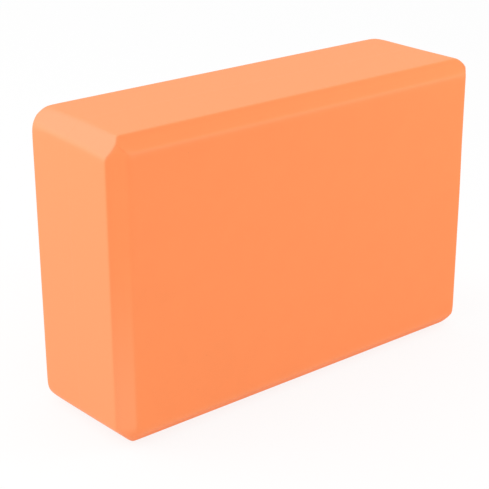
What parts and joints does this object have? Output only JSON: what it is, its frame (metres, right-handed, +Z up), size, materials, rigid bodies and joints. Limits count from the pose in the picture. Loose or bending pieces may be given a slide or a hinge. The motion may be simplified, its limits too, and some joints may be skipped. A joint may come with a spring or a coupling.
{
  "type": "yoga block",
  "caption": "Rectangular closed-cell foam yoga block with broad bevels along every edge, bonded from foam sheets, that stands on any of its faces as a firm support.",
  "frame": {"origin": "on the ground, under the middle of the block standing on a long narrow side", "axes": "+X along the length, +Y through the thickness towards the rear face, +Z up"},
  "size_m": [0.2286, 0.0762, 0.1524],
  "materials": {
    "orange_foam": "matte",
    "set_adhesive": "satin"
  },
  "bodies": {
    "root": {"front_foam_sheet": "orange_foam", "rear_foam_sheet": "orange_foam", "bond_film": "set_adhesive"}
  },
  "joints": []
}
